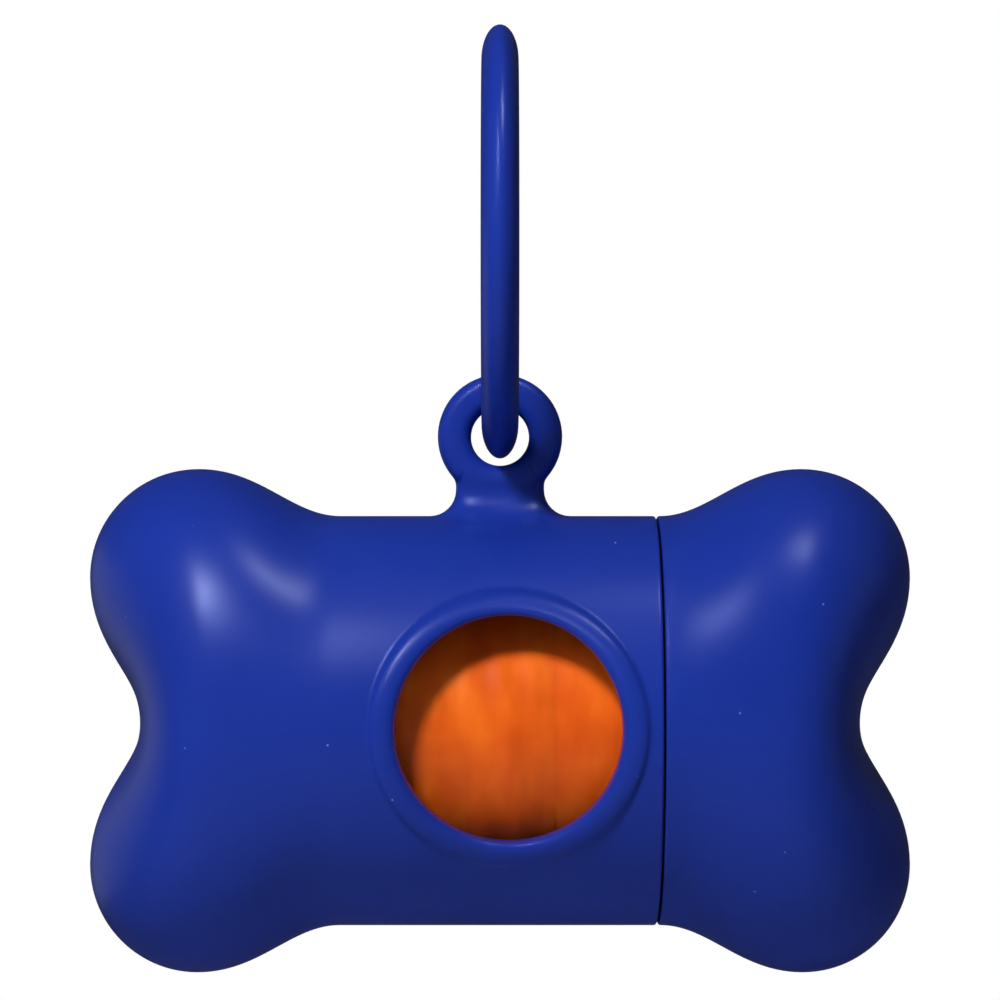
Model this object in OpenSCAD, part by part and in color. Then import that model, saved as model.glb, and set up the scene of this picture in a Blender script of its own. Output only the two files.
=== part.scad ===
// Bone-shaped dispenser for a roll of waste bags, hung from a lead by a moulded ring.
// Millimetres. X runs along the bone, -Y is the front with the window, +Z is up.
// The origin is the inner top of the ring, where the lead lies. The bone hangs below it.

/* [Roll of bags] */
// Radius of the wound film, without its outermost bag
film_r = 15.2; // [14:0.1:16.5]
// Length of the roll of film
film_len = 56; // [50:0.5:62]
// Step in the film where its free edge lies on the turn below
film_step = 0.25; // [0.1:0.05:0.4]
// Outer radius of the paper core
core_r = 5.6; // [5:0.1:7]
// Wall of the paper core
core_wall = 1; // [0.8:0.1:1.5]
// How far the core stands out of the film at each end
core_proud = 0; // [0:0.1:0.5]
// Clearance between the film and its core, and between two layers of film
film_fit = 0.05; // [0.03:0.01:0.1]
// Thickness of the outermost bag's folded film
bag_t = 0.2; // [0.15:0.05:0.3]
// Place of the bag's folded edge along the bone, seen in the window
bag_fold_x = 5.3; // [0:0.1:8]
// How far round the roll the outermost bag reaches
bag_wrap = 300; // [200:5:330]
// Gap between the roll and the floor of the room that it lies on
roll_seat = 0.3; // [0.2:0.05:0.4]

/* [Bone] */
// Wall of the soft body outside the roll tube
body_wall = 2.85; // [2:0.05:3.5]
// Wall of the soft body between the roll tube and the notch in each end
end_wall = 2.3; // [1.5:0.1:3]
// Radius of each lobe, seen from the front
lobe_r = 10.8; // [10:0.1:12]
// Distance from the bottom of the notch back to the centres of the lobes
lobe_back = 5.6; // [4.5:0.1:6.5]
// Height of each lobe's top above the straight middle of the bone
lobe_rise = 4.7; // [4:0.1:5.5]
// Length of the round end between the notch and the straight flank, seen from above
flank_len = 7.6; // [7:0.1:9]

/* [Seam and cap] */
// Distance from the bone's middle to the body's edge at the seam
seam_x = 15.5; // [15:0.1:17]
// Gap between the body and the closed cap
seam_gap = 0.2; // [0.1:0.05:0.5]
// Chamfer on both edges of the seam, and inside the cap's mouth
seam_edge = 0.25; // [0.1:0.05:0.4]
// Length of the neck that stands out of the body and carries the cap
neck_len = 8; // [6:0.5:9]
// Radial clearance of the cap on the neck
neck_fit = 0.08; // [0.05:0.01:0.1]
// Chamfer on the neck's open edge, which leads the cap on
neck_lead = 0.5; // [0.3:0.1:0.8]

/* [Roll tube] */
// Radial room of the roll in the tube
roll_slack = 0.85; // [0.6:0.05:1.5]
// Room at each end of the roll
end_slack = 4.2; // [3:0.1:5]
// Wall of the tube and of its neck
tube_wall = 1.2; // [1:0.1:1.8]
// Radial clearance of the tube in the body
tube_fit = 0.05; // [0.02:0.01:0.1]
// Rounding of the corners of the tube's inside, as far as the roll's edge leaves room for it
room_corner = 5.5; // [4:0.5:6]
// How much wider the tube's window is than the body's, on the radius
window_step = 0.5; // [0.3:0.1:0.8]

/* [Window] */
// Radius of the opening that the bags are pulled through
window_r = 10.8; // [9:0.1:11]
// Place of the window's centre along the bone
window_x = 0.85; // [-1:0.05:1]
// Width of the raised rim round the opening
rim_w = 2.5; // [2:0.1:2.6]
// Height of the rim's crest above the bone
rim_h = 0.55; // [0.3:0.05:0.9]
// Place of the crest on the rim, as a share of the rim's width from the opening
rim_crest = 0.55; // [0.4:0.05:0.7]
// Depth of the rim's inner lip below the bone's surface
lip_drop = 0.7; // [0.3:0.05:1]
// Narrow flat between the rim's curve and the opening
lip_land = 0.15; // [0.1:0.05:0.3]

/* [Ring and eye] */
// Inner radius of the ring
ring_in_r = 16.7; // [14:0.1:18]
// Width of the ring's section, measured along its radius
ring_w = 4.9; // [4:0.1:5.5]
// Thickness of the ring's section, measured along its axis
ring_t = 3.7; // [3:0.1:4]
// Part of the section's width that lies outside its thickest line
ring_nose = 3.4; // [2.5:0.1:3.8]
// Play of the ring in the eye, measured on the radius
ring_play = 0.45; // [0.35:0.05:0.8]
// Gap between the hanging ring and the top of the eye's hole
ring_seat = 0.15; // [0.1:0.01:0.3]
// Width of the eye's wall round its hole
eye_wall = 3.3; // [2.8:0.1:4]
// Thickness of the eye from front to back
eye_t = 5; // [4:0.1:6]
// Rounding of the eye's edges
eye_edge = 1.2; // [0.8:0.1:1.5]
// Height of the eye's centre above the top of the bone
eye_rise = 7.9; // [7:0.1:9]
// Half the width of the stem below the eye
stem_half_w = 4.4; // [3.8:0.1:4.8]
// Step from the stem up to the eye's front and back faces
stem_step = 0.1; // [0.05:0.05:0.3]
// Radius of the fillet between the stem and the bone
stem_fillet = 2.6; // [1.5:0.1:3]

/* [Hidden] */
$fn = 96;

blue = "#22369a";
tube_blue = "#2b3f9e";
film_orange = "#d8601c";
core_brown = "#b79a74";

// Points round the bone, and steps along each stretch of its outline
bone_sides = 72;
notch_steps = 8;
lobe_steps = 8;
shoulder_steps = 8;

// Lengths of the outline's tangents, as shares of the stretch that they shape
notch_pull = 0.29;
side_pull = 0.5;
round_pull = 0.5523;
top_pull = 0.44;
shoulder_pull = 0.34;
// Degrees that the flank's quarter ellipse turns per step of t at the pole
flank_pace = 35;

bag_in_r = film_r + film_fit;
bag_out_r = bag_in_r + bag_t;
tube_in_r = bag_out_r + roll_slack;
tube_out_r = tube_in_r + tube_wall;
room_half = film_len / 2 + end_slack;
room_corner_r = min(room_corner, end_slack + sqrt(2 * (end_slack - roll_seat) * roll_seat));
roll_z = -(roll_slack - roll_seat);

bone_r = tube_out_r + tube_fit + body_wall;
notch_x = room_half + tube_wall + end_wall;
lobe_x = notch_x - lobe_back;
lobe_z = bone_r + lobe_rise - lobe_r;
cap_x = seam_x + seam_gap;
shoulder_x = cap_x + seam_edge;
socket_r = tube_out_r + neck_fit;
neck_x = seam_x + neck_len;

window_tube_r = window_r + window_step;
window_cut = 2 * bone_r;
rim_out_r = window_r + rim_w;
rim_crest_r = window_r + rim_crest * rim_w;
rim_foot = 0.15;
rim_root = 0.3;
rim_sink = 0.5;
rim_back = sqrt(tube_out_r * tube_out_r - rim_out_r * rim_out_r) - rim_sink;
rim_sides = 72;
rim_steps = 3;

eye_hole_r = ring_w / 2 + ring_play;
eye_r = eye_hole_r + eye_wall;
eye_z = bone_r + eye_rise;
stem_sink = 0.4;
stem_top_z = eye_z - sqrt(eye_r * eye_r - stem_half_w * stem_half_w) + stem_sink;
stem_half_t = eye_t / 2 - stem_step;
stem_root_z = bone_r - 1;
stem_sides = 40;
stem_steps = 8;

ring_steps = 40;
ring_z = eye_z + eye_hole_r - ring_seat + ring_in_r;
hang_drop = ring_z + ring_in_r;

film_sides = 120;
bag_start = 200;

// How far a cut runs on past the face that it opens
cut_over = 1;

// Point at t, from 0 to 1, on the smooth curve with ends a, d and tangent points b, c
function curve_point(a, b, c, d, t) =
    let (s = 1 - t)
    s * s * s * a + 3 * s * s * t * b + 3 * s * t * t * c + t * t * t * d;

// Both outlines of a bone end are [distance along the bone, radius]. t runs from 0 at the pole to 1 at
// the outermost point of the lobe, 2 at the widest point and 3 where the straight middle starts.

// Stretch from the widest point to the shoulder, level at both ends
function shoulder_curve(top, t) =
    let (foot = [shoulder_x, bone_r], run = top[0] - foot[0])
    curve_point(top, top - [top_pull * run, 0], foot + [shoulder_pull * run, 0], foot, t - 2);

// The front view's outline: down into the notch, and round the lobe
function lobe_outline(t) =
    let (
        pole = [notch_x, 0],
        side = [lobe_x + lobe_r, lobe_z],
        top = [lobe_x, lobe_z + lobe_r],
        turn = lobe_r * round_pull
    )
    t <= 1 ? curve_point(pole, pole + [0, notch_pull * lobe_z], side - [0, side_pull * lobe_z], side, t)
    : t <= 2 ? curve_point(side, side + [0, turn], top + [turn, 0], top, t - 1)
    : shoulder_curve(top, t);

// The top view's outline: a quarter of an ellipse
function flank_outline(t) =
    let (
        flank_x = notch_x - flank_len,
        turn = t * (flank_pace + (90 - 2 * flank_pace) / 4 * t)
    )
    t <= 2 ? [flank_x + flank_len * cos(turn), bone_r * sin(turn)]
    : shoulder_curve([flank_x, bone_r], t);

// Ring of points round a bone end at outline place t. dir is 1 for the right end and -1 for the left.
function end_ring(t, dir) = [
    for (i = [0:bone_sides - 1])
        let (
            a = 360 * i / bone_sides,
            share = cos(a) * cos(a),
            p = share * lobe_outline(t) + (1 - share) * flank_outline(t)
        )
        [dir * p[0], p[1] * sin(a), p[1] * cos(a)]
];

// Plain round ring of the bone's middle
function round_ring(x, r) = [
    for (i = [0:bone_sides - 1])
        let (a = 360 * i / bone_sides)
        [x, r * sin(a), r * cos(a)]
];

// Places along the outline, from the one next to the pole to the shoulder
end_places = concat(
    [for (i = [1:notch_steps]) i / notch_steps],
    [for (i = [1:lobe_steps]) 1 + i / lobe_steps],
    [for (i = [1:shoulder_steps]) 2 + i / shoulder_steps]
);

// Numbers of the triangles between ring i and the next one, each of n points, over count points
function band(i, n, count) = [
    for (j = [0:n - 1])
        let (a = i * n + j, b = i * n + (j + 1) % n, c = (a + n) % count, d = (b + n) % count)
        each [[a, b, d], [a, d, c]]
];

// Skin over a list of rings. Each open end is closed by a fan to its own middle point.
module skin(rings, start_point, end_point) {
    n = len(rings[0]);
    count = n * len(rings);
    faces = concat(
        [for (i = [0:len(rings) - 2]) each band(i, n, count)],
        [for (j = [0:n - 1]) [(j + 1) % n, j, count]],
        [for (j = [0:n - 1]) [count - n + j, count - n + (j + 1) % n, count + 1]]
    );
    polyhedron(points = concat([for (ring = rings) each ring], [start_point, end_point]), faces = faces);
}

// Skin over a list of rings whose last ring joins the first
module loop_skin(rings) {
    n = len(rings[0]);
    count = n * len(rings);
    faces = [for (i = [0:len(rings) - 1]) each band(i, n, count)];
    polyhedron(points = [for (ring = rings) each ring], faces = faces);
}

// Everything is placed from the bone's own centre and hung below the origin
module hung() {
    translate([0, 0, -hang_drop]) children();
}

// Cylinder from x0 to x1 round the bone's axis
module rod_x(r, x0, x1) {
    translate([x0, 0, 0]) rotate([0, 90, 0]) cylinder(r = r, h = x1 - x0);
}

// Ring that chamfers a round edge of radius r at x: the outer edge of a right-hand face, or with a
// negative size the inner edge of a left-hand face
module chamfer_cut(r, x, size) {
    rotate([0, 90, 0]) rotate_extrude()
        polygon([[r - 2 * size, x + size], [r + size, x + size], [r + size, x - 2 * size]]);
}

// Outside of the body: the left bone end and the straight middle up to the seam
module body_form() {
    rings = concat(
        [for (t = end_places) end_ring(t, -1)],
        [round_ring(seam_x - seam_edge, bone_r), round_ring(seam_x, bone_r - seam_edge)]
    );
    skin(rings, [-notch_x, 0, 0], [seam_x, 0, 0]);
}

// Outside of the cap: the right bone end from the seam outwards
module cap_form() {
    places = [for (i = [len(end_places) - 1:-1:0]) end_places[i]];
    rings = concat([round_ring(cap_x, bone_r - seam_edge)], [for (t = places) end_ring(t, 1)]);
    skin(rings, [cap_x, 0, 0], [notch_x, 0, 0]);
}

// Room for the roll, revolved round the bone's axis, with rounded corners and grown by a wall
module room(grow) {
    r = tube_in_r + grow;
    half_len = room_half + grow;
    corner = room_corner_r + grow;
    side_len = half_len - corner;
    rotate([0, 90, 0]) rotate_extrude() {
        translate([0, -half_len]) square([r - corner, 2 * half_len]);
        translate([0, -side_len]) square([r, 2 * side_len]);
        for (side = [-1, 1]) translate([r - corner, side * side_len]) circle(r = corner);
    }
}

// Round bar along Y through the window
module window_bar(r) {
    translate([window_x, 0, 0]) rotate([90, 0, 0]) cylinder(r = r, h = window_cut);
}

// Top of the rim's section as [distance from the window's axis, height above the bone], inwards. Two
// quarter ellipses meet at the crest, and the last point lies in what the opening cuts away.
rim_section = concat(
    [for (i = [0:rim_steps])
        let (a = 90 * i / rim_steps)
        [rim_crest_r + (rim_out_r - rim_crest_r) * cos(a), (rim_h + rim_foot) * sin(a) - rim_foot]],
    [for (i = [1:rim_steps])
        let (a = 90 * i / rim_steps)
        [rim_crest_r - (rim_crest_r - window_r - lip_land) * sin(a), (rim_h + lip_drop) * cos(a) - lip_drop]],
    [[window_r - rim_root, -lip_drop - rim_root]]
);

// Raised rim that follows the round of the bone. Its root reaches back into the body's wall.
module rim() {
    root = [rim_out_r - rim_root, window_r - rim_root];
    rings = [
        for (i = [0:rim_sides - 1])
            let (a = 360 * i / rim_sides)
            concat(
                [for (p = rim_section)
                    let (z = p[0] * sin(a), r = bone_r + p[1])
                    [window_x + p[0] * cos(a), -sqrt(r * r - z * z), z]],
                [for (r = [root[1], root[0]]) [window_x + r * cos(a), -rim_back, r * sin(a)]]
            )
    ];
    loop_skin(rings);
}

// Stem between the bone and the eye. Its section is a rounded oblong, and it flares onto the bone.
module stem() {
    fillet_z = bone_r + stem_fillet;
    levels = concat(
        [stem_root_z],
        [for (i = [0:stem_steps]) bone_r + stem_fillet * (1 - cos(90 * i / stem_steps))],
        [stem_top_z]
    );
    rings = [
        for (level = levels)
            let (
                drop = min(max(fillet_z - level, 0), stem_fillet),
                flare = stem_fillet - sqrt(stem_fillet * stem_fillet - drop * drop),
                half_w = stem_half_w + flare,
                half_t = stem_half_t + flare
            )
            [for (i = [0:stem_sides - 1])
                let (
                    a = 360 * i / stem_sides,
                    s = sin(a),
                    c = cos(a),
                    x = half_w * sign(s) * pow(abs(s), 0.5),
                    y = half_t * sign(c) * pow(abs(c), 0.5)
                )
                [x, y, level - bone_r + sqrt(bone_r * bone_r - y * y)]]
    ];
    skin(rings, [0, 0, stem_root_z], [0, 0, stem_top_z]);
}

// Eye that the ring runs through, with rounded edges inside and out
module eye() {
    mid = eye_wall - 2 * eye_edge;
    flat = eye_t - 2 * eye_edge;
    translate([0, 0, eye_z]) rotate([90, 0, 0]) rotate_extrude()
        translate([eye_hole_r, 0]) {
            translate([0, -flat / 2]) square([eye_wall, flat]);
            translate([eye_edge, -eye_t / 2]) square([mid, eye_t]);
            for (u = [eye_edge, eye_wall - eye_edge], v = [-1, 1])
                translate([u, v * flat / 2]) circle(r = eye_edge);
        }
}

module hang_ring() color(blue) hung() {
    outer = ring_nose;
    inner = ring_w - ring_nose;
    middle_r = ring_in_r + inner;
    section = [
        for (i = [0:ring_steps - 1])
            let (a = 360 * i / ring_steps, reach = sin(a) > 0 ? outer : inner)
            [middle_r + reach * sin(a), ring_t / 2 * cos(a)]
    ];
    translate([0, 0, ring_z]) rotate([0, 90, 0]) rotate_extrude() polygon(section);
}

module body_shell() color(blue) hung() difference() {
    union() {
        difference() {
            body_form();
            window_bar(window_r + rim_w / 2);
        }
        rim();
        stem();
        eye();
    }
    room(tube_wall + tube_fit);
    window_bar(window_r);
}

module roll_tube() color(tube_blue) hung() difference() {
    room(tube_wall);
    rod_x(bone_r, neck_x, notch_x);
    chamfer_cut(tube_out_r, neck_x, neck_lead);
    room(0);
    window_bar(window_tube_r);
}

module cap_shell() color(blue) hung() difference() {
    cap_form();
    rod_x(socket_r, cap_x - cut_over, neck_x + seam_gap);
    chamfer_cut(socket_r, cap_x, -seam_edge);
    room(0);
}

module roll_core() color(core_brown) hung() translate([0, 0, roll_z]) difference() {
    half = film_len / 2 + core_proud;
    rod_x(core_r, -half, half);
    rod_x(core_r - core_wall, -half - cut_over, half + cut_over);
}

// The wound film: a spiral outline with one step at its free edge
module bag_roll() color(film_orange) hung() translate([0, 0, roll_z]) difference() {
    outline_points = [
        for (i = [0:film_sides - 1])
            let (a = 360 * i / film_sides, r = film_r - film_step * i / film_sides)
            [r * cos(a), r * sin(a)]
    ];
    rotate([90, 0, 90]) linear_extrude(height = film_len, center = true) polygon(outline_points);
    rod_x(core_r + film_fit, -film_len, film_len);
}

// The outermost bag, folded once, so that its edge runs round the roll
module first_bag() color(film_orange) hung() translate([-film_len / 2, 0, roll_z])
    rotate([0, 90, 0]) rotate([0, 0, bag_start]) rotate_extrude(angle = bag_wrap)
        translate([bag_in_r, 0]) square([bag_t, film_len / 2 + bag_fold_x]);

hang_ring();
body_shell();
roll_tube();
cap_shell();
roll_core();
bag_roll();
first_bag();
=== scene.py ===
"""Looks of a bone-shaped dispenser for a roll of waste bags that hangs from a moulded ring.

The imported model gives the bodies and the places. Each class holds one piece's sizes in millimetres,
measured from the middle of the bone, and builds its surface as numpy grids that share their edges.
"""

import logging
import math
from dataclasses import dataclass, field
from enum import Enum

import bmesh
import bpy
import numpy as np
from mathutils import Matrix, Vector


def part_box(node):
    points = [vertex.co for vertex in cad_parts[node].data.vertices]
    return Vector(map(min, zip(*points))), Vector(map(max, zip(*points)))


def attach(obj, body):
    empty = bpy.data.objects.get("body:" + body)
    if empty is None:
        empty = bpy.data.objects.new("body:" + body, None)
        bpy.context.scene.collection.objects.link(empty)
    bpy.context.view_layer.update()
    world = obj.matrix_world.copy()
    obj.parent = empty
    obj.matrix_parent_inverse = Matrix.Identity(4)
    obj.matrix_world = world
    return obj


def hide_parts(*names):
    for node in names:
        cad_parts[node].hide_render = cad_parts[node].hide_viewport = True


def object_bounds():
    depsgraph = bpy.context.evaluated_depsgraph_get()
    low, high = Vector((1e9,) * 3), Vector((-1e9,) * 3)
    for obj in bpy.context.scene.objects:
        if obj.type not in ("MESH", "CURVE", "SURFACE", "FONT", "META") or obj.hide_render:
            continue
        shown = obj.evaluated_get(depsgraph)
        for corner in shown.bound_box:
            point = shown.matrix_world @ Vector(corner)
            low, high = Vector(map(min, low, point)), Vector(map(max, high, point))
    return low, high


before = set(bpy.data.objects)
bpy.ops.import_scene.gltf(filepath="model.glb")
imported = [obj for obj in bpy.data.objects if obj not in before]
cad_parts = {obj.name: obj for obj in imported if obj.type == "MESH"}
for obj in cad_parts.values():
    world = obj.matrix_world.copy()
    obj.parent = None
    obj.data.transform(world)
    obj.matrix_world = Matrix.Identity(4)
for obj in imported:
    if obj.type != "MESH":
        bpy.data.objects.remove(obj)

CAD_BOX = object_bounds()
LOG = logging.getLogger("dispenser")
MM = 0.001
WELD_MM = 0.002
# Pull of a cubic curve's inner control points, as a share of the radius, for a quarter circle
CIRCLE_PULL = 0.5523
# Steps round a small rounded edge
EDGE_STEPS = 4
# Angles round the bone of its front and its top
FRONT_DEG = 270.0
TOP_DEG = 360.0
# Wall of the stiff tube, and the gap between it and the soft body round it
TUBE_WALL_MM = 1.2
TUBE_GAP_MM = 0.05


class Body(Enum):
    """Rigid bodies that the pieces ride on."""

    RING = "ring"
    BONE = "bone"
    CAP = "cap"
    ROLL = "roll"


class Slot(Enum):
    """Material slots of the record, listed for each piece in the plan."""

    SOFT = "soft_shell"
    TUBE = "inner_tube"
    FILM = "film"


def node_middle(name: str) -> Vector:
    """Middle of a CAD node's box.

    Args:
        name: Name of the node.

    Returns:
        The middle in metres.
    """
    low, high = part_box(name)
    return (low + high) / 2


# The bone's axis is the roll tube's own axis, and the film turns about the core's
BONE_Z = node_middle("roll_tube").z
ROLL_Z = node_middle("roll_core").z


# ---------------------------------------------------------------- surfaces


def cubic(
    start: np.ndarray, pull_a: np.ndarray, pull_b: np.ndarray, end: np.ndarray, t: np.ndarray
) -> np.ndarray:
    """Points on a cubic curve, as the sum of its four control points by Bernstein's weights.

    Args:
        start: First control point.
        pull_a: Second control point, which gives the first tangent.
        pull_b: Third control point, which gives the last tangent.
        end: Last control point.
        t: Places from 0 to 1, with a last axis of length 1.

    Returns:
        One point for each place.
    """
    s = 1 - t
    return s**3 * start + 3 * s**2 * t * pull_a + 3 * s * t**2 * pull_b + t**3 * end


def arc(radius: float, first: float, last: float, steps: int) -> np.ndarray:
    """Points of a circle about the origin as (cosine, sine) pairs times the radius.

    Args:
        radius: Radius of the arc.
        first: First angle in degrees.
        last: Last angle in degrees.
        steps: Number of steps between them.

    Returns:
        Array of steps + 1 points.
    """
    angle = np.radians(np.linspace(first, last, steps + 1))
    return radius * np.stack([np.cos(angle), np.sin(angle)], axis=-1)


def turned(x: np.ndarray, radius: np.ndarray, angle: np.ndarray) -> np.ndarray:
    """Points round the X axis, each as x and the radius times the sine and the cosine of the angle.

    Args:
        x: Places along the axis.
        radius: Distances from the axis.
        angle: Angles in radians from the top. The three arrays broadcast together.

    Returns:
        Array of points in space.
    """
    across, up = radius * np.sin(angle), radius * np.cos(angle)
    return np.stack(np.broadcast_arrays(x, across, up), axis=-1)


def block_cells(rows: np.ndarray, cols: np.ndarray) -> tuple[int, int, int, int]:
    """Block of cells as (first row, last row, first column, last column), for Shell.add."""
    return rows.min(), rows.max(), cols.min(), cols.max()


def block_loop(rows: np.ndarray, cols: np.ndarray, out: int = 0) -> tuple[np.ndarray, np.ndarray]:
    """Grid indices along the edge of a block of cells, in one closed loop.

    Args:
        rows: Row indices of the block, in the order of the loop's first side.
        cols: Column indices of the block, in the order of its second side.
        out: How many cells outside the block the loop runs.

    Returns:
        Row indices and column indices, each corner taken once.
    """
    step_r, step_c = np.sign(rows[1] - rows[0]), np.sign(cols[1] - cols[0])
    sides = (
        (rows[:-1], np.full(len(rows) - 1, cols[0] - out * step_c)),
        (np.full(len(cols) - 1, rows[-1] + out * step_r), cols[:-1]),
        (rows[:0:-1], np.full(len(rows) - 1, cols[-1] + out * step_c)),
        (np.full(len(cols) - 1, rows[0] - out * step_r), cols[:0:-1]),
    )
    return np.concatenate([r for r, _ in sides]), np.concatenate([c for _, c in sides])


class Shell:
    """Closed surface made of grids that are welded where their edges meet."""

    def __init__(self) -> None:
        """Starts with no grid."""
        self._points: list[np.ndarray] = []
        self._quads: list[np.ndarray] = []
        self._count = 0

    def add(
        self, grid: np.ndarray, wrap: bool = True, holes: tuple[tuple[int, int, int, int], ...] = ()
    ) -> None:
        """Adds a grid of points, leaving out the cells of its holes.

        Args:
            grid: Points in millimetres, shaped (rows, columns, 3).
            wrap: Whether the last column joins the first.
            holes: Blocks of cells to leave out, as block_cells gives them.
        """
        rows, cols = grid.shape[:2]
        index = np.arange(rows * cols).reshape(rows, cols)
        if wrap:
            index = np.concatenate([index, index[:, :1]], axis=1)
        keep = np.ones((index.shape[0] - 1, index.shape[1] - 1), bool)
        for first_row, last_row, first_col, last_col in holes:
            keep[first_row:last_row, first_col:last_col] = False
        cells = np.stack([index[:-1, :-1], index[:-1, 1:], index[1:, 1:], index[1:, :-1]], axis=-1)
        self._points.append(grid.reshape(-1, 3))
        self._quads.append(cells[keep] + self._count)
        self._count += rows * cols

    def build(self, name: str, centre_z: float, sharp: float = 40.0) -> bpy.types.Object:
        """Welds the grids and makes the object, with its place in its mesh.

        Args:
            name: Name of the object.
            centre_z: Height in metres of the point that the millimetres are measured from.
            sharp: Angle in degrees above which an edge is drawn sharp.

        Returns:
            The new object, linked to the scene.
        """
        points = np.concatenate(self._points) * MM + np.array([0.0, 0.0, centre_z])
        mesh = bpy.data.meshes.new(name)
        mesh.from_pydata(points, [], np.concatenate(self._quads))
        work = bmesh.new()
        work.from_mesh(mesh)
        bmesh.ops.remove_doubles(work, verts=work.verts, dist=WELD_MM * MM)
        bmesh.ops.dissolve_degenerate(work, edges=work.edges, dist=WELD_MM * MM)
        bmesh.ops.recalc_face_normals(work, faces=work.faces)
        open_edges = sum(1 for edge in work.edges if not edge.is_manifold)
        work.to_mesh(mesh)
        work.free()
        mesh.polygons.foreach_set("use_smooth", np.ones(len(mesh.polygons), bool))
        mesh.set_sharp_from_angle(angle=math.radians(sharp))
        item = bpy.data.objects.new(name, mesh)
        bpy.context.scene.collection.objects.link(item)
        LOG.info("%s: %d faces, %d open edges", name, len(mesh.polygons), open_edges)
        return item


# ---------------------------------------------------------------- finishes


def linear(hex_colour: str) -> tuple[float, float, float, float]:
    """Turns an sRGB colour into the linear one that a shader takes.

    Args:
        hex_colour: Colour such as "#22369a".

    Returns:
        Red, green, blue and an alpha of 1.
    """
    parts = [int(hex_colour[i : i + 2], 16) / 255 for i in (1, 3, 5)]
    red, green, blue = (c / 12.92 if c <= 0.04045 else ((c + 0.055) / 1.055) ** 2.4 for c in parts)
    return red, green, blue, 1.0


class Nodes:
    """Node tree of a material or a world, filled node by node."""

    def __init__(self, owner: bpy.types.Material | bpy.types.World) -> None:
        """Empties the owner's tree."""
        owner.use_nodes = True
        self._tree = owner.node_tree
        self._tree.nodes.clear()

    def add(self, kind: str, inputs: dict | None = None, **settings: object) -> bpy.types.Node:
        """Adds a shader node, sets it up and links it.

        Args:
            kind: Blender's name of the node's type.
            inputs: Socket name or number to a value, or to the output socket that feeds it.
            **settings: Attributes of the node itself.

        Returns:
            The new node.
        """
        node = self._tree.nodes.new(kind)
        for key, value in settings.items():
            setattr(node, key, value)
        for key, value in (inputs or {}).items():
            if isinstance(value, bpy.types.NodeSocket):
                self._tree.links.new(value, node.inputs[key])
            else:
                node.inputs[key].default_value = value
        return node

    def ramp(
        self, factor: bpy.types.NodeSocket, places: tuple[float, ...], *colours: str
    ) -> bpy.types.NodeSocket:
        """Adds a colour ramp between sRGB colours.

        Args:
            factor: Output socket that drives the ramp.
            places: Place of each colour on the ramp, in order.
            *colours: sRGB hex colours.

        Returns:
            The ramp's colour.
        """
        node = self.add("ShaderNodeValToRGB", {"Fac": factor})
        elements = node.color_ramp.elements
        while len(elements) < len(colours):
            elements.new(0.5)
        for element, place, colour in zip(elements, places, colours):
            element.position, element.color = place, linear(colour)
        return node.outputs["Color"]

    def close(
        self, height: bpy.types.NodeSocket, strength: float, depth_mm: float, inputs: dict
    ) -> None:
        """Ends a material's tree with a bump, the principled shader and the output.

        Args:
            height: Output socket that gives the relief.
            strength: Strength of the bump.
            depth_mm: Depth of the relief.
            inputs: The shader's other sockets, as add takes them.
        """
        relief = {"Height": height, "Strength": strength, "Distance": depth_mm * MM}
        normal = self.add("ShaderNodeBump", relief).outputs["Normal"]
        shader = self.add("ShaderNodeBsdfPrincipled", {**inputs, "Normal": normal})
        self.add("ShaderNodeOutputMaterial", {"Surface": shader.outputs["BSDF"]})


def new_material(name: str) -> tuple[bpy.types.Material, Nodes]:
    """Makes an empty node material.

    Args:
        name: Name of the material.

    Returns:
        The material and its node tree.
    """
    material = bpy.data.materials.new(name)
    return material, Nodes(material)


def scale_for(size_mm: float) -> float:
    """Scale of a texture whose features lie this many millimetres apart."""
    return 1 / (size_mm * MM)


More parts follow.
